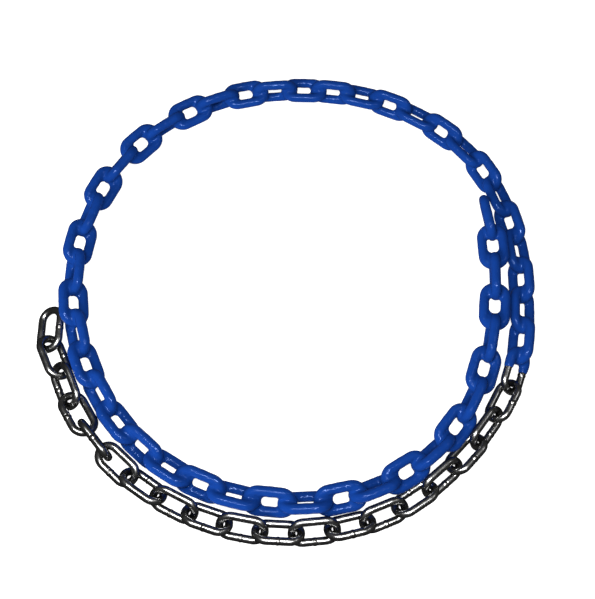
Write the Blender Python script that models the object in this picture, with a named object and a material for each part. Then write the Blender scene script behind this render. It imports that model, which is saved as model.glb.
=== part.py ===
# A length of welded link chain laid down in a ring of one and a half turns.
# The first links are bare steel, one link is half dipped, and the rest wear a
# thick blue coat that has set over the joints, so that stretch holds its lie.
# Metres, +Z up, origin under the middle of the ring at floor level.

import math

import bmesh
import bpy
import numpy as np
from mathutils import Matrix, Vector

# The link
WIRE_DIAMETER = 0.0055
INSIDE_LENGTH = 0.0252
INSIDE_WIDTH = 0.0100
COAT_THICKNESS = 0.00115
BEND_STEPS = 5
PROFILE_SIDES = 8
GAP = 0.0003

# The chain, counted from its bare end
BARE_LINKS = 19
COATED_LINKS = 48
START_BEARING = -161.6
CURLED_LINKS = 6
FIRST_PITCH = 0.0214
CURLED_PITCH = 0.0229
BARE_PITCH = 0.0243
DIPPED_PITCH = 0.0243
COATED_PITCH = 0.0243

# A joint between a tall link and a low one hangs nearer the tall one's height
HIGHER_SHARE = 0.8

# How far the first joints lie outside the route; minus is inside it
SIDESTEPS = (-0.0019, 0.0019, -0.0008, -0.0001)

# Where the coat of the half dipped link ends, and how much it slants
DIP_LINE = -0.0002
DIP_SLANT = -2.0

# Path of the chain's middle line: bearing in degrees, distance from the centre
ROUTE = [
    (-162, 0.1856), (-152, 0.1868), (-138, 0.1884), (-122, 0.1900),
    (-115, 0.1900), (-95, 0.1894), (-75, 0.1876), (-60, 0.1854),
    (-50, 0.1818), (-40, 0.1792), (-20, 0.1764), (0, 0.1706),
    (20, 0.1722), (42, 0.1752), (70, 0.1692), (95, 0.1628),
    (120, 0.1633), (150, 0.1656), (180, 0.1662), (210, 0.1680),
    (243, 0.1711), (270, 0.1699), (300, 0.1672), (320, 0.1622),
    (337, 0.1548), (350, 0.1500), (366, 0.1484), (392, 0.1576),
]

# How the bare links lean: bearing, lean of the odd links, lean of the even ones
BARE_LEAN = [
    (-162, 160, 50), (-152, 152, 43), (-138, 124, 29), (-130, 89, 0),
    (-122, 64, -30), (-115, 43, -38), (-95, 42, -38), (-60, 44, -42),
    (-50, 44, -50), (-40, 44, -52), (-20, 48, -34),
]

# How the coated links lean: bearing, lean of the even links, height held up
COATED_LEAN = [
    (-14, -30, 0), (0, -30, 0), (42, -30, 0), (70, -19, 0), (95, -5, 0),
    (120, 10, 0), (150, 28, 0), (180, 37, 0), (210, 41, 0), (243, 45, 0),
    (270, 51, 0), (300, 66, 0), (320, 77, 0), (337, 84, 0),
    (350, 95, 0.004), (366, 103, 0.006), (392, 112, 0.007),
]

WIRE_RADIUS = WIRE_DIAMETER / 2
COATED_RADIUS = WIRE_RADIUS + COAT_THICKNESS
HALF_WIDTH = (INSIDE_WIDTH + WIRE_DIAMETER) / 2
HALF_STRAIGHT = (INSIDE_LENGTH - INSIDE_WIDTH) / 2
HALF_FACET = math.pi / PROFILE_SIDES


def read_curve(rows, column, at):
    """Read a smooth curve through one column of a table at a bearing."""
    knots = np.array([row[0] for row in rows], float)
    values = np.array([row[column] for row in rows], float)
    slopes = np.gradient(values, knots)
    at = min(max(at, knots[0]), knots[-1])
    left = min(max(int(np.searchsorted(knots, at)) - 1, 0), len(knots) - 2)
    width = knots[left + 1] - knots[left]
    s = (at - knots[left]) / width
    start = (1 + 2 * s) * (1 - s) ** 2 * values[left]
    start += s * (1 - s) ** 2 * width * slopes[left]
    end = s * s * (3 - 2 * s) * values[left + 1]
    end += s * s * (s - 1) * width * slopes[left + 1]
    return start + end


def route_point(bearing):
    distance = read_curve(ROUTE, 1, bearing)
    angle = math.radians(bearing)
    return Vector((distance * math.cos(angle), distance * math.sin(angle), 0))


def walk_route(pitches):
    """Step along the route, one pitch after another, and list the joints."""
    bearings = [START_BEARING]
    for pitch in pitches:
        here = route_point(bearings[-1])
        step = math.degrees(pitch / here.length)
        for _ in range(12):
            reach = (route_point(bearings[-1] + step) - here).length
            step *= pitch / reach
        bearings.append(bearings[-1] + step)
    return bearings


def joint_places(bearings):
    """Where the joints lie: on the route, or near the bare end a step beside it."""
    places = [route_point(bearing) for bearing in bearings]
    for joint, step in enumerate(SIDESTEPS):
        places[joint] *= 1 + step / places[joint].length
    return places


def is_bare(number):
    return number <= BARE_LINKS


def is_coated(number):
    return number > BARE_LINKS + 1


def link_lean(number, bearing):
    """Lean of a link about its own long axis; 0 lies flat, 90 stands on edge."""
    if not is_coated(number):
        column = 1 if number % 2 else 2
        return read_curve(BARE_LEAN, column, bearing)
    lean = read_curve(COATED_LEAN, 1, bearing)
    if (number - BARE_LINKS) % 2 == 0:
        lean += 90
    return lean


def resting_height(number, bearing):
    """Height of a link's middle when its lower side rests on the floor."""
    if not is_coated(number):
        lean = math.radians(link_lean(number, bearing))
        radius = WIRE_RADIUS if is_bare(number) else COATED_RADIUS
        return HALF_WIDTH * abs(math.sin(lean)) + radius
    lean = math.radians(read_curve(COATED_LEAN, 1, bearing))
    tallest = max(abs(math.sin(lean)), abs(math.cos(lean)))
    held_up = max(read_curve(COATED_LEAN, 2, bearing), 0)
    return HALF_WIDTH * tallest + COATED_RADIUS + held_up


def loop_points():
    """Middle line of a link's wire: two round ends joined by straight sides."""
    loop = []
    for end in (1, -1):
        first = -math.pi / 2 if end == 1 else math.pi / 2
        for step in range(BEND_STEPS + 1):
            angle = first + math.pi * step / BEND_STEPS
            x = end * HALF_STRAIGHT + HALF_WIDTH * math.cos(angle)
            loop.append((x, HALF_WIDTH * math.sin(angle)))
    return loop


def link_frame(number, bearing, start, finish, heights):
    """Placement of a link between its two joints: X along it, Y across it."""
    along = finish - start
    if not is_coated(number):
        along.z = heights[1] - heights[0]
    along.normalize()
    outward = along.cross(Vector((0, 0, 1))).normalized()
    upward = outward.cross(along)
    lean = math.radians(link_lean(number, bearing))
    across = outward * math.cos(lean) + upward * math.sin(lean)
    normal = along.cross(across)
    turn = Matrix((along, across, normal)).transposed()
    middle = (start + finish) / 2
    middle.z = resting_height(number, bearing)
    if not is_coated(number):
        lowest = min((turn @ Vector((x, y, 0))).z for x, y in loop_points())
        radius = WIRE_RADIUS if is_bare(number) else COATED_RADIUS
        middle.z = max(radius - lowest, (heights[0] + heights[1]) / 2)
    return Matrix.Translation(middle) @ turn.to_4x4()


def place_links():
    """Work out where each link of the chain lies."""
    total = BARE_LINKS + 1 + COATED_LINKS
    pitches = [BARE_PITCH] * BARE_LINKS
    pitches[:CURLED_LINKS] = [FIRST_PITCH] + [CURLED_PITCH] * (CURLED_LINKS - 1)
    pitches += [DIPPED_PITCH] + [COATED_PITCH] * COATED_LINKS
    bearings = walk_route(pitches)
    places = joint_places(bearings)
    middles = [(a + b) / 2 for a, b in zip(bearings, bearings[1:])]
    rests = [resting_height(number, middles[number - 1])
             for number in range(1, total + 1)]
    heights = [rests[0]]
    for before, after in zip(rests, rests[1:]):
        heights.append(HIGHER_SHARE * max(before, after)
                       + (1 - HIGHER_SHARE) * min(before, after))
    heights.append(rests[-1])
    frames = {}
    for number in range(1, total + 1):
        frames[number] = link_frame(number, middles[number - 1],
                                    places[number - 1], places[number],
                                    heights[number - 1:number + 1])
    return frames


def floor_facet_tilt(frame):
    """Turn of the wire's facets that lays one flat on the floor."""
    down = frame.to_3x3().transposed() @ Vector((0, 0, -1))
    facing = math.atan2(down.y, down.z)
    if down.y < 0:
        facing = -facing
    return facing - HALF_FACET


def add_link(name, frame, radius, collection):
    """Bend a round bar into one closed link and put it in its place."""
    curve = bpy.data.curves.new(name, "CURVE")
    curve.dimensions = "3D"
    curve.twist_mode = "MINIMUM"
    spline = curve.splines.new("POLY")
    loop = loop_points()
    spline.points.add(len(loop) - 1)
    tilt = floor_facet_tilt(frame)
    for point, (x, y) in zip(spline.points, loop):
        point.co = (x, y, 0, 1)
        point.tilt = tilt
    spline.use_cyclic_u = True
    curve.bevel_depth = radius / math.cos(HALF_FACET)
    curve.bevel_resolution = (PROFILE_SIDES - 4) // 2
    curve.render_resolution_u = 0
    link = bpy.data.objects.new(name, curve)
    link.matrix_world = frame
    collection.objects.link(link)
    return link


def as_mesh(curve_object, collection):
    """Swap a curve object for a mesh object in the same place."""
    name = curve_object.name
    place = curve_object.matrix_world.copy()
    curve_object.name = name + "_curve"
    graph = bpy.context.evaluated_depsgraph_get()
    shape = bpy.data.meshes.new_from_object(curve_object.evaluated_get(graph))
    cleaner = bmesh.new()
    cleaner.from_mesh(shape)
    bmesh.ops.remove_doubles(cleaner, verts=cleaner.verts, dist=1e-6)
    cleaner.to_mesh(shape)
    cleaner.free()
    solid = bpy.data.objects.new(name, shape)
    solid.matrix_world = place
    collection.objects.link(solid)
    bpy.data.objects.remove(curve_object)
    return solid


def add_cutter(name, frame, radius, cutters):
    cutter = as_mesh(add_link(name, frame, radius, cutters), cutters)
    cutter.hide_render = True
    cutter.display_type = "WIRE"
    return cutter


def combine(target, other, operation):
    modifier = target.modifiers.new(operation.lower(), "BOOLEAN")
    modifier.operation = operation
    modifier.object = other
    modifier.solver = "EXACT"


def add_material(name, colour, metallic, roughness):
    material = bpy.data.materials.new(name)
    material.use_nodes = True
    shader = material.node_tree.nodes["Principled BSDF"]
    shader.inputs["Base Color"].default_value = (*colour, 1)
    shader.inputs["Metallic"].default_value = metallic
    shader.inputs["Roughness"].default_value = roughness
    return material


def add_bare_links(frames, parts):
    """The plain steel links, each a loose round bar of its own."""
    links = []
    for number in range(1, BARE_LINKS + 1):
        name = f"bare_link_{number:02d}"
        link = add_link(name, frames[number], WIRE_RADIUS, parts)
        link.data.materials.append(add_material(name, (0.28, 0.28, 0.27), 1, 0.25))
        links.append(link)
    return links


def add_dipped_link(frames, parts, cutters):
    """The link at the dip line: a steel bar with a coat on its last half."""
    number = BARE_LINKS + 1
    frame = frames[number]
    steel = add_link("half_dipped_link", frame, WIRE_RADIUS, parts)
    steel.data.materials.append(
        add_material("half_dipped_link", (0.28, 0.28, 0.27), 1, 0.25))
    coat = as_mesh(add_link("coat_end", frame, COATED_RADIUS, parts), parts)
    coat.data.materials.append(add_material("coat_end", (0.01, 0.05, 0.38), 0, 0.25))
    combine(coat, add_cutter("coat_bore", frame, WIRE_RADIUS + GAP, cutters),
            "DIFFERENCE")
    size = INSIDE_LENGTH + INSIDE_WIDTH
    bpy.ops.mesh.primitive_cube_add(size=size)
    block = bpy.context.object
    block.name = "below_dip_line"
    slant = Matrix.Rotation(math.radians(DIP_SLANT), 4, "Z")
    shift = Matrix.Translation((DIP_LINE, 0, 0))
    back = Matrix.Translation((-size / 2, 0, 0))
    block.matrix_world = frame @ shift @ slant @ back
    for owner in list(block.users_collection):
        owner.objects.unlink(block)
    cutters.objects.link(block)
    block.hide_render = True
    block.display_type = "WIRE"
    combine(coat, block, "DIFFERENCE")
    return [steel, coat]


def add_coated_pairs(frames, parts, cutters):
    """Two neighbouring links in one skin of coat, trimmed where the last ended."""
    pairs = []
    first_coated = BARE_LINKS + 2
    for first in range(first_coated, first_coated + COATED_LINKS, 2):
        count = first - BARE_LINKS - 1
        name = f"coated_links_{count:02d}_{count + 1:02d}"
        pair = as_mesh(add_link(name, frames[first], COATED_RADIUS, parts), parts)
        pair.data.materials.append(add_material(name, (0.01, 0.05, 0.38), 0, 0.25))
        before = add_cutter(f"trim_{count:02d}", frames[first - 1],
                            COATED_RADIUS + GAP, cutters)
        combine(pair, before, "DIFFERENCE")
        partner = add_cutter(f"partner_{count + 1:02d}", frames[first + 1],
                             COATED_RADIUS, cutters)
        combine(pair, partner, "UNION")
        pairs.append(pair)
    return pairs


def centre_on_floor(pieces):
    """Move the ring so its box stands on the origin."""
    graph = bpy.context.evaluated_depsgraph_get()
    corners = []
    for piece in pieces:
        ready = piece.evaluated_get(graph)
        shape = ready.to_mesh()
        corners += [ready.matrix_world @ corner.co for corner in shape.vertices]
        ready.to_mesh_clear()
    low = [min(corner[axis] for corner in corners) for axis in range(3)]
    high = [max(corner[axis] for corner in corners) for axis in range(3)]
    return Vector((-(low[0] + high[0]) / 2, -(low[1] + high[1]) / 2, -low[2]))


def main():
    for leftover in list(bpy.data.objects):
        bpy.data.objects.remove(leftover)
    parts = bpy.data.collections.new("chain_ring")
    cutters = bpy.data.collections.new("chain_ring_cutters")
    bpy.context.scene.collection.children.link(parts)
    bpy.context.scene.collection.children.link(cutters)
    frames = place_links()
    pieces = add_bare_links(frames, parts)
    pieces += add_dipped_link(frames, parts, cutters)
    pieces += add_coated_pairs(frames, parts, cutters)
    bpy.context.view_layer.update()
    ring = bpy.data.objects.new("ring_middle", None)
    parts.objects.link(ring)
    shift = centre_on_floor(pieces)
    for piece in pieces + list(cutters.objects):
        piece.parent = ring
    ring.location = shift


main()
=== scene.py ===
import math

import bpy
import numpy as np
from mathutils import Matrix, Vector, noise


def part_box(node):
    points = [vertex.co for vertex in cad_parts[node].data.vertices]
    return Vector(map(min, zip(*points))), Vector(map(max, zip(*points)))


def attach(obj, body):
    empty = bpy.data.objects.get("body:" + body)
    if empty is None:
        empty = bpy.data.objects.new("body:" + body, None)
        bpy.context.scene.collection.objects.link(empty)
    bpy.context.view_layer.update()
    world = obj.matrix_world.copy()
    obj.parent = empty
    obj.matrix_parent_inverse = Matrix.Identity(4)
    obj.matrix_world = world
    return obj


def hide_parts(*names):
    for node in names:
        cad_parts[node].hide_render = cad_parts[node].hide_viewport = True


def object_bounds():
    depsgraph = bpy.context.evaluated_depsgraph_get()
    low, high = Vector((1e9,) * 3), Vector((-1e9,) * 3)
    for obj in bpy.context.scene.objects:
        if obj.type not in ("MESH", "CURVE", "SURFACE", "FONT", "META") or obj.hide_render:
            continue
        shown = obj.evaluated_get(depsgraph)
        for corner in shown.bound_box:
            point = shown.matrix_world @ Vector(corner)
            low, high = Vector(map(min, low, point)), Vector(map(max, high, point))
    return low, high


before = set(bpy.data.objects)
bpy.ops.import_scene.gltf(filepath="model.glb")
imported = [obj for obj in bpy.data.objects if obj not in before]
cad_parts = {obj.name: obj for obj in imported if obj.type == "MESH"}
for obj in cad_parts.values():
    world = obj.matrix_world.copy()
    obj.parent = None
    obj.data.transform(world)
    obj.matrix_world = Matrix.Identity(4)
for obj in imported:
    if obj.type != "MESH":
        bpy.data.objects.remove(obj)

cadBox = [list(corner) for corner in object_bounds()]

# the chain as it was laid out in the solid model, in metres and degrees
chain = {
    "wire": 0.0055,
    "insideLength": 0.0252,
    "insideWidth": 0.0100,
    "coat": 0.00115,
    "bareLinks": 19,
    "coatedLinks": 48,
    "startBearing": -161.6,
    "curledLinks": 6,
    "firstPitch": 0.0214,
    "curledPitch": 0.0229,
    "barePitch": 0.0243,
    "dippedPitch": 0.0243,
    "coatedPitch": 0.0243,
    "higherShare": 0.8,
    "sidesteps": (-0.0019, 0.0019, -0.0008, -0.0001),   # the first joints, out from the route
    "bendSteps": 5,        # straight bits that a bend is measured by
    "stepRounds": 12,      # corrections that bring a step to its pitch
}

# path of the chain's middle line: bearing, distance from the ring's centre
route = [
    (-162, 0.1856), (-152, 0.1868), (-138, 0.1884), (-122, 0.1900),
    (-115, 0.1900), (-95, 0.1894), (-75, 0.1876), (-60, 0.1854),
    (-50, 0.1818), (-40, 0.1792), (-20, 0.1764), (0, 0.1706),
    (20, 0.1722), (42, 0.1752), (70, 0.1692), (95, 0.1628),
    (120, 0.1633), (150, 0.1656), (180, 0.1662), (210, 0.1680),
    (243, 0.1711), (270, 0.1699), (300, 0.1672), (320, 0.1622),
    (337, 0.1548), (350, 0.1500), (366, 0.1484), (392, 0.1576),
]

# bearing, lean of the odd bare links, lean of the even ones
bareLean = [
    (-162, 160, 50), (-152, 152, 43), (-138, 124, 29), (-130, 89, 0),
    (-122, 64, -30), (-115, 43, -38), (-95, 42, -38), (-60, 44, -42),
    (-50, 44, -50), (-40, 44, -52), (-20, 48, -34),
]

# bearing, lean of the even coated links, height held up
coatedLean = [
    (-14, -30, 0), (0, -30, 0), (42, -30, 0), (70, -19, 0), (95, -5, 0),
    (120, 10, 0), (150, 28, 0), (180, 37, 0), (210, 41, 0), (243, 45, 0),
    (270, 51, 0), (300, 66, 0), (320, 77, 0), (337, 84, 0),
    (350, 95, 0.004), (366, 103, 0.006), (392, 112, 0.007),
]

wireRadius = chain["wire"] / 2
coatRadius = wireRadius + chain["coat"]
halfWidth = (chain["insideWidth"] + chain["wire"]) / 2
halfStraight = (chain["insideLength"] - chain["insideWidth"]) / 2
wireLength = 4 * halfStraight + 2 * math.pi * halfWidth
dipped = chain["bareLinks"] + 1
lastLink = dipped + chain["coatedLinks"]


# smooth curve through one column of a table, read at a bearing
def readCurve(rows, column, at):
    knots = np.array([row[0] for row in rows], float)
    values = np.array([row[column] for row in rows], float)
    slopes = np.gradient(values, knots)
    at = min(max(at, knots[0]), knots[-1])
    left = min(max(int(np.searchsorted(knots, at)) - 1, 0), len(knots) - 2)
    width = knots[left + 1] - knots[left]
    s = (at - knots[left]) / width
    start = (1 + 2 * s) * (1 - s) ** 2 * values[left]
    start += s * (1 - s) ** 2 * width * slopes[left]
    end = s * s * (3 - 2 * s) * values[left + 1]
    end += s * s * (s - 1) * width * slopes[left + 1]
    return start + end


def routePoint(bearing):
    distance = readCurve(route, 1, bearing)
    angle = math.radians(bearing)
    return Vector((distance * math.cos(angle), distance * math.sin(angle), 0))


def walkRoute(pitches):
    bearings = [chain["startBearing"]]
    for pitch in pitches:
        here = routePoint(bearings[-1])
        step = math.degrees(pitch / here.length)
        for _ in range(chain["stepRounds"]):
            reach = (routePoint(bearings[-1] + step) - here).length
            step *= pitch / reach
        bearings.append(bearings[-1] + step)
    return bearings


def jointPlaces(bearings):
    places = [routePoint(bearing) for bearing in bearings]
    for joint, step in enumerate(chain["sidesteps"]):
        places[joint] *= 1 + step / places[joint].length
    return places


# lean about the link's own long axis: 0 lies flat, 90 stands on edge
def linkLean(number, bearing):
    if number <= dipped:
        return readCurve(bareLean, 1 if number % 2 else 2, bearing)
    lean = readCurve(coatedLean, 1, bearing)
    return lean if (number - dipped) % 2 == 0 else lean + 90


def restingHeight(number, bearing):
    radius = wireRadius if number < dipped else coatRadius
    if number <= dipped:
        lean = math.radians(linkLean(number, bearing))
        return halfWidth * abs(math.sin(lean)) + radius
    lean = math.radians(readCurve(coatedLean, 1, bearing))
    tallest = max(abs(math.sin(lean)), abs(math.cos(lean)))
    return halfWidth * tallest + radius + max(readCurve(coatedLean, 2, bearing), 0)


def bendPoints():
    steps = chain["bendSteps"]
    points = []
    for end in (1, -1):
        for step in range(steps + 1):
            angle = -end * math.pi / 2 + math.pi * step / steps
            points.append(Vector((end * halfStraight + halfWidth * math.cos(angle),
                                  halfWidth * math.sin(angle), 0)))
    return points


# X runs along the link, Y across it, Z square to its flat
def linkFrame(number, bearing, start, finish, levels):
    along = finish - start
    if number <= dipped:
        along.z = levels[1] - levels[0]
    along.normalize()
    outward = along.cross(Vector((0, 0, 1))).normalized()
    lean = math.radians(linkLean(number, bearing))
    across = outward * math.cos(lean) + outward.cross(along) * math.sin(lean)
    turn = Matrix((along, across, along.cross(across))).transposed()
    middle = (start + finish) / 2
    middle.z = restingHeight(number, bearing)
    if number <= dipped:
        radius = wireRadius if number < dipped else coatRadius
        lowest = min((turn @ point).z for point in bendPoints())
        middle.z = max(radius - lowest, (levels[0] + levels[1]) / 2)
    return Matrix.Translation(middle) @ turn.to_4x4()


def placeLinks():
    pitches = [chain["barePitch"]] * chain["bareLinks"]
    pitches[:chain["curledLinks"]] = [chain["curledPitch"]] * chain["curledLinks"]
    pitches[0] = chain["firstPitch"]
    pitches += [chain["dippedPitch"]] + [chain["coatedPitch"]] * chain["coatedLinks"]
    bearings = walkRoute(pitches)
    places = jointPlaces(bearings)
    middles = [(a + b) / 2 for a, b in zip(bearings, bearings[1:])]
    rests = [restingHeight(n, middles[n - 1]) for n in range(1, lastLink + 1)]
    share = chain["higherShare"]
    levels = [share * max(a, b) + (1 - share) * min(a, b) for a, b in zip(rests, rests[1:])]
    levels = [rests[0]] + levels + [rests[-1]]
    return {n: linkFrame(n, middles[n - 1], places[n - 1], places[n], levels[n - 1:n + 1])
            for n in range(1, lastLink + 1)}


# the solid model's ring was moved over the origin, so every link moves with it
def standOnNodes(frames):
    moves = []
    for number in range(1, dipped):
        low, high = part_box(f"bare_link_{number:02d}")
        moves.append((Vector(low) + Vector(high)) / 2 - frames[number].translation)
    move = sum(moves, Vector()) / len(moves)
    print("ring moved by", [round(v * 1000, 3) for v in move], "mm")
    return {n: Matrix.Translation(move) @ f for n, f in frames.items()}, move


# places, outward directions and distances along a link's middle line
def loopPath(distances):
    side, bend = 2 * halfStraight, math.pi * halfWidth
    rows = []
    for s in distances:
        if s < side / 2:
            rows.append((s, -halfWidth, 0, -1))
        elif s < side / 2 + bend:
            a = (s - side / 2) / halfWidth - math.pi / 2
            rows.append((halfStraight + halfWidth * math.cos(a), halfWidth * math.sin(a),
                         math.cos(a), math.sin(a)))
        elif s < 1.5 * side + bend:
            rows.append((halfStraight - (s - side / 2 - bend), halfWidth, 0, 1))
        elif s < 1.5 * side + 2 * bend:
            a = (s - 1.5 * side - bend) / halfWidth + math.pi / 2
            rows.append((-halfStraight + halfWidth * math.cos(a), halfWidth * math.sin(a),
                         math.cos(a), math.sin(a)))
        else:
            rows.append((s - wireLength, -halfWidth, 0, -1))
    return np.array(rows)


# rings of points round the middle line; radii has one row for each ring
def tubePoints(path, radii, sides):
    angle = 2 * np.pi * np.arange(sides) / sides
    out = radii * np.cos(angle)
    points = np.empty((len(path), sides, 3))
    points[:, :, 0] = path[:, None, 0] + out * path[:, None, 2]
    points[:, :, 1] = path[:, None, 1] + out * path[:, None, 3]
    points[:, :, 2] = radii * np.sin(angle)
    return points.reshape(-1, 3)


# an open tube gets a cap at each end
def tubeFaces(rings, sides, closed):
    ring = np.arange(rings if closed else rings - 1)
    i, j = np.meshgrid(ring, np.arange(sides), indexing="ij")
    nextI, nextJ = (i + 1) % rings, (j + 1) % sides
    corners = [i * sides + j, nextI * sides + j, nextI * sides + nextJ, i * sides + nextJ]
    faces = np.stack(corners, -1).reshape(-1, 4).tolist()
    if not closed:
        faces.append(list(range(sides))[::-1])
        faces.append([(rings - 1) * sides + corner for corner in range(sides)])
    return faces


def setIn(points, matrix):
    m = np.array(matrix)
    return points @ m[:3, :3].T + m[:3, 3]


# never past the solid model's own box
def keepInside(points):
    return np.clip(points, cadBox[0], cadBox[1])


def addMesh(name, points, faces, material):
    mesh = bpy.data.meshes.new(name)
    mesh.from_pydata(np.asarray(points).tolist(), [], faces)
    mesh.shade_smooth()
    piece = bpy.data.objects.new(name, mesh)
    bpy.context.scene.collection.objects.link(piece)
    if material:
        mesh.materials.append(material)
    return piece


def linearColour(code):
    parts = [int(code[i:i + 2], 16) / 255 for i in (1, 3, 5)]
    return [p / 12.92 if p <= 0.04045 else ((p + 0.055) / 1.055) ** 2.4 for p in parts] + [1]


def addNode(material, kind, settings, inputs):
    node = material.node_tree.nodes.new(kind)
    for key, value in settings.items():
        setattr(node, key, value)
    for socket, value in inputs.items():
        if isinstance(value, bpy.types.NodeSocket):
            material.node_tree.links.new(value, node.inputs[socket])
        else:
            node.inputs[socket].default_value = value
    return node


def newMaterial(name):
    material = bpy.data.materials.new(name)
    material.use_nodes = True
    return material, material.node_tree.nodes["Principled BSDF"]


noiseMiddle = (0.3, 0.7)    # where most of a noise pattern lies


# a noise pattern whose patches have a real size in mm
def addPattern(material, place, size, detail):
    return addNode(material, "ShaderNodeTexNoise", {}, {
        "Vector": place, "Scale": 1000 / size, "Detail": detail})


def addRoughness(material, pattern, span):
    return addNode(material, "ShaderNodeMapRange", {}, {
        "Value": pattern, "From Min": noiseMiddle[0], "From Max": noiseMiddle[1],
        "To Min": span[0], "To Max": span[1]})


# a bump is given as its strength and its depth in metres
def addBump(material, height, bump, normal=None):
    inputs = {"Height": height, "Strength": bump[0], "Distance": bump[1]}
    if normal is not None:
        inputs["Normal"] = normal
    return addNode(material, "ShaderNodeBump", {}, inputs)


# Low carbon steel, cold drawn, welded and oiled: a dark grey metal that shows
# thin white streaks along the wire, faint die lines and a dull mark at the weld.
steelLook = {
    "dark": "#828282",
    "pale": "#a2a2a1",
    "weld": "#6a6864",
    "roughness": (0.21, 0.28),
    "edge": "#202020",        # reflection at grazing angles, dulled by the oil
    "dieLineWidth": 0.8,      # mm; the real ones are about 0.2, too fine to show
    "dieLineLength": 18.0,    # mm
    "dieLineBump": (0.02, 0.0001),
    "oilPatch": 5.0,          # mm
    "streaks": (0.14, 0.38),  # lines times oil, from all dark to all pale
    "weldBand": 1.7,          # mm each way from the middle of the weld
    "weldFade": (0.5, 1.2),   # of that band, from full weld to plain wire
    "grit": 0.9,              # mm, grain of the weld
    "weldBump": (0.35, 0.0005),
}


def makeSteel():
    steel, shader = newMaterial("drawnMildSteel")
    look = steelLook
    around = 2 * math.pi * wireRadius * 1000
    uv = addNode(steel, "ShaderNodeTexCoord", {}, {})
    lines = addNode(steel, "ShaderNodeMapping", {}, {
        "Vector": uv.outputs["UV"],
        "Scale": (wireLength * 1000 / look["dieLineLength"], around / look["dieLineWidth"], 1)})
    dieLines = addNode(steel, "ShaderNodeTexNoise", {}, {
        "Vector": lines.outputs["Vector"], "Scale": 1.0, "Detail": 2.0})
    oil = addPattern(steel, uv.outputs["Object"], look["oilPatch"], 3.0)
    blend = addNode(steel, "ShaderNodeMath", {"operation": "MULTIPLY"}, {
        0: dieLines.outputs["Fac"], 1: oil.outputs["Fac"]})
    spread = addNode(steel, "ShaderNodeMapRange", {}, {
        "Value": blend.outputs["Value"],
        "From Min": look["streaks"][0], "From Max": look["streaks"][1]})
    plain = addNode(steel, "ShaderNodeMix", {"data_type": "RGBA"}, {
        "Factor": spread.outputs["Result"],
        "A": linearColour(look["dark"]), "B": linearColour(look["pale"])})
    # the weld is half way round the wire
    parts = addNode(steel, "ShaderNodeSeparateXYZ", {}, {"Vector": uv.outputs["UV"]})
    off = addNode(steel, "ShaderNodeMath", {"operation": "SUBTRACT"}, {
        0: parts.outputs["X"], 1: 0.5})
    away = addNode(steel, "ShaderNodeMath", {"operation": "ABSOLUTE"}, {0: off.outputs["Value"]})
    grit = addPattern(steel, uv.outputs["Object"], look["grit"], 2.0)
    band = look["weldBand"] / (wireLength * 1000)
    weld = addNode(steel, "ShaderNodeMapRange", {"interpolation_type": "SMOOTHSTEP"}, {
        "Value": away.outputs["Value"],
        "From Min": look["weldFade"][0] * band, "From Max": look["weldFade"][1] * band,
        "To Min": 1.0, "To Max": 0.0})
    weldGrit = addNode(steel, "ShaderNodeMath", {"operation": "MULTIPLY"}, {
        0: weld.outputs["Result"], 1: grit.outputs["Fac"]})
    colour = addNode(steel, "ShaderNodeMix", {"data_type": "RGBA"}, {
        "Factor": weldGrit.outputs["Value"],
        "A": plain.outputs["Result"], "B": linearColour(look["weld"])})
    rough = addRoughness(steel, oil.outputs["Fac"], look["roughness"])
    bumpLines = addBump(steel, dieLines.outputs["Fac"], look["dieLineBump"])
    bumpWeld = addBump(steel, weldGrit.outputs["Value"], look["weldBump"],
                       bumpLines.outputs["Normal"])
    links = steel.node_tree.links
    links.new(colour.outputs["Result"], shader.inputs["Base Color"])
    links.new(rough.outputs["Result"], shader.inputs["Roughness"])
    links.new(bumpWeld.outputs["Normal"], shader.inputs["Normal"])
    shader.inputs["Metallic"].default_value = 1.0
    shader.inputs["Specular Tint"].default_value = linearColour(look["edge"])
    return steel


# Plastisol, hot dipped and cured: a thick soft gloss blue with a slightly lumpy
# skin that breaks its small highlights up.
coatLook = {
    "blue": "#0b2c6b",
    "deepBlue": "#09245c",
    "roughness": (0.05, 0.09),
    "ior": 1.50,
    "specular": 0.18,
    "tint": "#a0c0ff",
    "cloud": 9.0,     # mm, slow change of colour where the coat is thick
    "lump": 2.2,      # mm, sags left by dipping
    "lumpBump": (0.5, 0.0006),
    "peel": 1.4,      # mm, orange peel of the cured skin
    "peelBump": (0.25, 0.0002),
}


def makeCoat():
    coat, shader = newMaterial("dippedPlastisol")
    look = coatLook
    place = addNode(coat, "ShaderNodeTexCoord", {}, {})
    clouds = addPattern(coat, place.outputs["Object"], look["cloud"], 2.0)
    colour = addNode(coat, "ShaderNodeMix", {"data_type": "RGBA"}, {
        "Factor": clouds.outputs["Fac"],
        "A": linearColour(look["deepBlue"]), "B": linearColour(look["blue"])})
    lumps = addPattern(coat, place.outputs["Object"], look["lump"], 1.0)
    peel = addPattern(coat, place.outputs["Object"], look["peel"], 1.0)
    rough = addRoughness(coat, lumps.outputs["Fac"], look["roughness"])
    bumpLumps = addBump(coat, lumps.outputs["Fac"], look["lumpBump"])
    bumpPeel = addBump(coat, peel.outputs["Fac"], look["peelBump"], bumpLumps.outputs["Normal"])
    links = coat.node_tree.links
    links.new(colour.outputs["Result"], shader.inputs["Base Color"])
    links.new(rough.outputs["Result"], shader.inputs["Roughness"])
    links.new(bumpPeel.outputs["Normal"], shader.inputs["Normal"])
    shader.inputs["IOR"].default_value = look["ior"]
    shader.inputs["Specular IOR Level"].default_value = look["specular"]
    shader.inputs["Specular Tint"].default_value = linearColour(look["tint"])
    return coat


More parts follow.
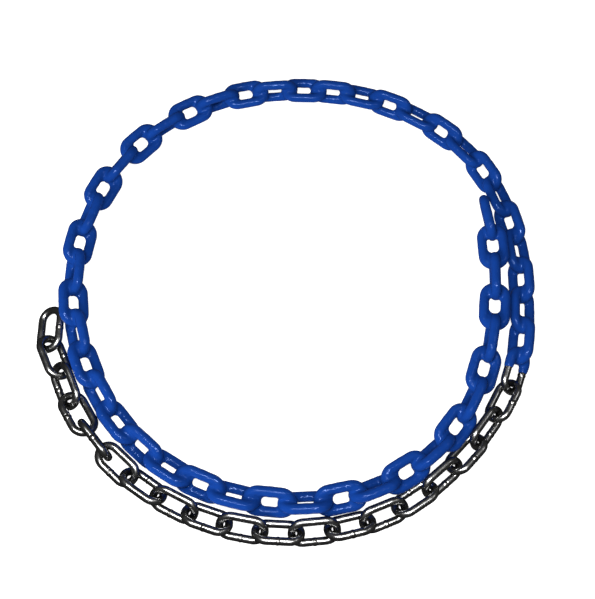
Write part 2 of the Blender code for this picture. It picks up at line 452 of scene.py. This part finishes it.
# Bare links: round bar with a burr where the ends were welded
bareLink = {
    "rings": 88,
    "weldRings": 25,
    "weldSpan": 0.003,      # closer rings this far each way from the weld
    "sides": 24,
    "burr": 0.00026,        # height of the weld's collar
    "burrWidth": 0.0009,
    "burrVaries": (0.75, 0.9),     # share that is even, share that is ragged
    "groove": 0.00016,      # trimmed hollow each side of the collar
    "grooveAt": 0.0016,     # from the middle of the weld
    "grooveWidth": 0.0004,
    "grooveVaries": (0.6, 0.6),
    "reliefReach": 0.004,   # past this the wire is plain
    "raggedRound": 2,       # how fast the raggedness changes round the wire
    "raggedAlong": 900,     # and along it, per metre
    "raggedStep": 7.3,      # and from one link to the next
    "weldOnInside": (1, 2, 7, 15),
}


def weldRelief(distances, sides, seed):
    rows = np.zeros((len(distances), sides))
    turn = bareLink["raggedRound"]
    evenBurr, raggedBurr = bareLink["burrVaries"]
    evenGroove, raggedGroove = bareLink["grooveVaries"]
    for i, s in enumerate(distances):
        away = s - wireLength / 2
        if abs(away) > bareLink["reliefReach"]:
            continue
        collar = math.exp(-(away / bareLink["burrWidth"]) ** 2)
        fromGroove = abs(away) - bareLink["grooveAt"]
        hollow = math.exp(-(fromGroove / bareLink["grooveWidth"]) ** 2)
        for j in range(sides):
            a = 2 * math.pi * j / sides
            ragged = noise.noise((turn * math.cos(a) + seed * bareLink["raggedStep"],
                                  turn * math.sin(a), away * bareLink["raggedAlong"]))
            rows[i, j] = bareLink["burr"] * collar * (evenBurr + raggedBurr * ragged)
            rows[i, j] -= bareLink["groove"] * hollow * (evenGroove + raggedGroove * ragged)
    return rows


def linkDistances():
    spread = np.linspace(0, wireLength, bareLink["rings"], endpoint=False)
    span = bareLink["weldSpan"]
    weld = wireLength / 2 + np.linspace(-span, span, bareLink["weldRings"])
    return np.unique(np.concatenate([spread, weld]))


def addSteelLink(name, number, frames, steel):
    distances, sides = linkDistances(), bareLink["sides"]
    place = frames[number]
    outside = (place.to_3x3() @ Vector((0, 1, 0))).dot(place.translation.normalized()) > 0
    if number < dipped and outside == (number in bareLink["weldOnInside"]):
        place = place @ Matrix.Rotation(math.pi, 4, "Z")
    radii = wireRadius + weldRelief(distances, sides, number)
    points = tubePoints(loopPath(distances), radii, sides)
    faces = tubeFaces(len(distances), sides, True)
    piece = addMesh(name, keepInside(setIn(points, place)), faces, steel)
    layer = piece.data.uv_layers.new(name="alongWire")
    lengths = np.append(distances, wireLength) / wireLength
    i, j = np.meshgrid(np.arange(len(distances)), np.arange(sides), indexing="ij")
    u = np.stack([lengths[i], lengths[i + 1], lengths[i + 1], lengths[i]], -1)
    v = np.stack([j, j, j + 1, j + 1], -1) / sides
    layer.data.foreach_set("uv", np.stack([u, v], -1).ravel())
    return piece


# Blue coat: the tubes of a run are joined, shrunk to one skin and let flow, which
# leaves a soft fillet wherever two links touch
blueCoat = {
    "voxel": 0.0006,
    "fillet": 0.0008,      # radius that the coat leaves in a corner
    "flow": 8,             # smoothing rounds
    "flowShare": 0.5,      # how far a point moves in one round
    "rings": 72,
    "sides": 24,
    "regain": -0.00018,    # the skin has drawn in a little from the nominal coat
    "lump": 0.00010,       # depth of the skin's slow waves
    "lumpSize": 0.006,
    "weldRise": 0.00016,   # the weld under the coat
    "weldRiseWidth": 0.0014,
    "runs": 4,
    "edge": 0.00035,       # thickness of the coat where the dip ended
    "dipLine": 0.0008,     # where that is, from the middle of the half dipped link
    "dipSlant": -6.0,
    "dipRings": 60,
    "dipSpare": 0.0018,    # tube made past the dip line, before it is trimmed to it
    "dipGrown": 0.005,     # the coat has its full thickness this far from the line
    "pool": 0.0011,        # wire of coat that has pooled round the start of each hole
    "poolArc": 0.0051,     # its bend
    "poolShift": -0.0013,  # middle of that bend, from the link's middle
    "poolTurn": (100, 260),
    "poolRings": 17,
    "poolSides": 12,
}

# the tubes are made full by the fillet, which is drawn in again later
fullRadius = coatRadius + blueCoat["regain"] + blueCoat["fillet"]


def coatTube(place):
    rings, sides = blueCoat["rings"], blueCoat["sides"]
    distances = np.linspace(0, wireLength, rings, endpoint=False)
    away = distances - wireLength / 2
    rise = blueCoat["weldRise"] * np.exp(-(away / blueCoat["weldRiseWidth"]) ** 2)
    radii = np.repeat((fullRadius + rise)[:, None], sides, 1)
    points = tubePoints(loopPath(distances), radii, sides)
    return setIn(points, place), tubeFaces(rings, sides, True)


# the half dipped link: coat on its far half only, thin where the dip ended
def dippedTube(place):
    rings, sides = blueCoat["dipRings"], blueCoat["sides"]
    slope = math.tan(math.radians(blueCoat["dipSlant"]))
    start = blueCoat["dipLine"] + halfWidth * slope
    side, bend = 2 * halfStraight, math.pi * halfWidth
    end = side / 2 + bend + halfStraight - (blueCoat["dipLine"] - halfWidth * slope)
    spare = blueCoat["dipSpare"] + blueCoat["fillet"]
    distances = np.linspace(start - spare, end + spare, rings)
    path = loopPath(distances % wireLength)
    fromEnd = np.minimum(distances - distances[0], distances[-1] - distances)
    thin = wireRadius + blueCoat["edge"] + blueCoat["fillet"]
    grown = np.clip((fromEnd - spare) / blueCoat["dipGrown"], 0, 1)
    radii = np.repeat((thin + (fullRadius - thin) * np.sqrt(grown))[:, None], sides, 1)
    points = tubePoints(path, radii, sides)
    limit = blueCoat["dipLine"] - blueCoat["fillet"] - points[:, 1] * slope
    trimmed = points[:, 0] < halfStraight
    points[trimmed, 0] = np.maximum(points[trimmed, 0], limit[trimmed])
    return setIn(points, place), tubeFaces(rings, sides, False)


# coat pooled at one end of each hole, as if the chain hung from its bare end to drip
def pooledCoat(place):
    rings, sides = blueCoat["poolRings"], blueCoat["poolSides"]
    turns = np.radians(np.linspace(*blueCoat["poolTurn"], rings))
    path = np.stack([blueCoat["poolShift"] + blueCoat["poolArc"] * np.cos(turns),
                     blueCoat["poolArc"] * np.sin(turns), np.cos(turns), np.sin(turns)], -1)
    radii = np.full((rings, sides), blueCoat["pool"] + blueCoat["fillet"])
    return setIn(tubePoints(path, radii, sides), place), tubeFaces(rings, sides, False)


def distanceToLink(points, matrix):
    m = np.array(matrix)
    local = (points - m[:3, 3]) @ m[:3, :3]
    reach = np.maximum(np.abs(local[:, 0]) - halfStraight, 0)
    return np.hypot(np.hypot(reach, local[:, 1]) - halfWidth, local[:, 2])


def addRemesh(piece, name):
    remesh = piece.modifiers.new(name, "REMESH")
    remesh.mode = "VOXEL"
    remesh.voxel_size = blueCoat["voxel"]


def flowTogether(name, numbers, frames):
    points, faces, count = [], [], 0
    for number in numbers:
        place = frames[number]
        solids = [coatTube(place), pooledCoat(place)] if number > dipped else [dippedTube(place)]
        for solid, corners in solids:
            points.append(solid)
            faces += [[count + corner for corner in face] for face in corners]
            count += len(solid)
    rough = addMesh(name, np.concatenate(points), faces, None)
    addRemesh(rough, "fused")
    drawnIn = rough.modifiers.new("drawnIn", "DISPLACE")
    drawnIn.mid_level = 0
    drawnIn.strength = -blueCoat["fillet"]
    addRemesh(rough, "skin")
    flow = rough.modifiers.new("flow", "SMOOTH")
    flow.factor = blueCoat["flowShare"]
    flow.iterations = blueCoat["flow"]
    graph = bpy.context.evaluated_depsgraph_get()
    settled = bpy.data.meshes.new_from_object(rough.evaluated_get(graph))
    bpy.data.objects.remove(rough)
    return settled


def readPoints(mesh, what):
    values = np.zeros(len(mesh.vertices) * 3, np.float32)
    getattr(mesh, what).foreach_get("co" if what == "vertices" else "vector", values)
    return values.reshape(-1, 3).astype(float)


# neighbouring runs are made with each other's end links, so their edges meet
def addCoatRun(name, first, last, frames, coat):
    numbers = range(max(first - 1, dipped), min(last + 1, lastLink) + 1)
    settled = flowTogether(name + "Rough", numbers, frames)
    points, normals = readPoints(settled, "vertices"), readPoints(settled, "vertex_normals")
    waves = np.array([noise.noise(p / blueCoat["lumpSize"]) for p in map(Vector, points)])
    points = keepInside(points - normals * (blueCoat["lump"] * (0.5 + 0.5 * waves))[:, None])
    settled.vertices.foreach_set("co", points.astype(np.float32).ravel())
    settled.update()
    normals = readPoints(settled, "vertex_normals")
    corners = np.zeros(len(settled.loops), np.int32)
    settled.loops.foreach_get("vertex_index", corners)
    quads = corners.reshape(-1, 4)
    near = np.stack([distanceToLink(points, frames[n]) for n in numbers])
    owner = np.array(list(numbers))[near[:, quads].mean(2).argmin(0)]
    quads = quads[(owner >= first) & (owner <= last)]
    used = np.unique(quads)
    renumber = np.zeros(len(points), int)
    renumber[used] = np.arange(len(used))
    piece = addMesh(name, points[used], renumber[quads].tolist(), coat)
    piece.data.normals_split_custom_set_from_vertices(normals[used].tolist())
    bpy.data.meshes.remove(settled)
    return piece


def coatNodes(first, last):
    names = ["coat_end"] if first == dipped else []
    for number in range(max(first, dipped + 1), last + 1, 2):
        count = number - dipped
        names.append(f"coated_links_{count:02d}_{count + 1:02d}")
    return names


# Light, floor and camera
studio = {
    "floor": "#a0a0a0",
    "glow": 0.90,           # light let through the sheet from under it
    "floorSize": 6.0,       # from its middle to each edge
    "floorDrop": 0.00005,   # keeps the sheet clear of the links
    "grain": 300.0,         # mm, slow change in how dull the sheet is
    "grainRoughness": (0.85, 0.95),
    "world": "#f0f0f0",
    "worldStrength": 0.06,
    "lights": [
        # name, where, size, watts, whether it mirrors in the surfaces
        ("tubeByLens", (-0.03, -0.16, 0.56), (0.46, 0.03), 4.0, True),
        ("softBoxByLens", (-0.03, -0.16, 0.57), (0.40, 0.34), 2.0, True),
        ("softBoxBehind", (0.40, 0.08, 0.56), (0.13, 0.13), 0.26, True),
        ("softFront", (-0.60, -0.75, 0.45), (0.60, 0.60), 20.0, False),
    ],
}

lens = {
    "elevation": 69.14,
    "distance": 0.5565,
    "roll": -7.31,
    "focal": 733.8,        # pixels, for a picture 595 by 599
    "picture": (595, 599),
    "clipStart": 0.01,
    "aim": (0.002484, -0.018705),   # from the ring's own centre
}


def addStudio():
    size = studio["floorSize"]
    corners = ((-1, -1), (1, -1), (1, 1), (-1, 1))
    points = [(x * size, y * size, -studio["floorDrop"]) for x, y in corners]
    sheet, shader = newMaterial("litOpalSheet")
    grain = addNode(sheet, "ShaderNodeTexNoise", {}, {
        "Scale": 2 * size * 1000 / studio["grain"], "Detail": 2.0})
    tone = addNode(sheet, "ShaderNodeMapRange", {}, {
        "Value": grain.outputs["Fac"],
        "To Min": studio["grainRoughness"][0], "To Max": studio["grainRoughness"][1]})
    sheet.node_tree.links.new(tone.outputs["Result"], shader.inputs["Roughness"])
    shader.inputs["Base Color"].default_value = linearColour(studio["floor"])
    shader.inputs["Emission Color"].default_value = linearColour("#ffffff")
    shader.inputs["Emission Strength"].default_value = studio["glow"]
    floor = addMesh("opalSheet", points, [[0, 1, 2, 3]], sheet)
    floor.visible_glossy = False
    world = bpy.data.worlds.new("softRoom")
    world.use_nodes = True
    background = world.node_tree.nodes["Background"]
    background.inputs["Color"].default_value = linearColour(studio["world"])
    background.inputs["Strength"].default_value = studio["worldStrength"]
    bpy.context.scene.world = world
    for name, where, size, watts, mirrored in studio["lights"]:
        lamp = bpy.data.lights.new(name, "AREA")
        lamp.shape = "RECTANGLE"
        lamp.size, lamp.size_y = size
        lamp.energy = watts
        light = bpy.data.objects.new(name, lamp)
        light.location = where
        light.visible_glossy = mirrored
        light.rotation_euler = (-Vector(where)).to_track_quat("-Z", "Y").to_euler()
        bpy.context.scene.collection.objects.link(light)


def addCamera(move):
    tilt, roll = math.radians(lens["elevation"]), math.radians(lens["roll"])
    forward = Vector((0, math.cos(tilt), -math.sin(tilt)))
    down = Vector((0, -math.sin(tilt), -math.cos(tilt)))
    right = Vector((1, 0, 0))
    pictureRight = right * math.cos(roll) + down * math.sin(roll)
    pictureDown = down * math.cos(roll) - right * math.sin(roll)
    aim = Vector((lens["aim"][0] + move.x, lens["aim"][1] + move.y, 0))
    data = bpy.data.cameras.new("photoCamera")
    data.lens = lens["focal"] * data.sensor_width / max(lens["picture"])
    data.clip_start = lens["clipStart"]
    camera = bpy.data.objects.new("photoCamera", data)
    turn = Matrix((pictureRight, -pictureDown, -forward)).transposed().to_4x4()
    camera.matrix_world = Matrix.Translation(aim - forward * lens["distance"]) @ turn
    bpy.context.scene.collection.objects.link(camera)
    bpy.context.scene.camera = camera


frames, move = standOnNodes(placeLinks())
addCamera(move)
addStudio()
bpy.context.scene.view_settings.view_transform = "Standard"
print("camera, floor and lights are up")

steel, coat = makeSteel(), makeCoat()
print("materials mixed")

for number in range(1, dipped + 1):
    node = "half_dipped_link" if number == dipped else f"bare_link_{number:02d}"
    name = "halfDippedLink" if number == dipped else f"bareLink{number:02d}"
    link = addSteelLink(name, number, frames, steel)
    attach(link, "root")
    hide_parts(node)
print("steel links bent and welded:", dipped)

perRun = chain["coatedLinks"] // blueCoat["runs"]
for run in range(blueCoat["runs"]):
    first = dipped + 1 + run * perRun
    last = first + perRun - 1
    first = dipped if run == 0 else first
    piece = addCoatRun(f"blueCoatRun{run + 1}", first, last, frames, coat)
    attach(piece, "root")
    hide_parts(*coatNodes(first, last))
    print(piece.name, "faces:", len(piece.data.polygons))
print("blue coat has set")
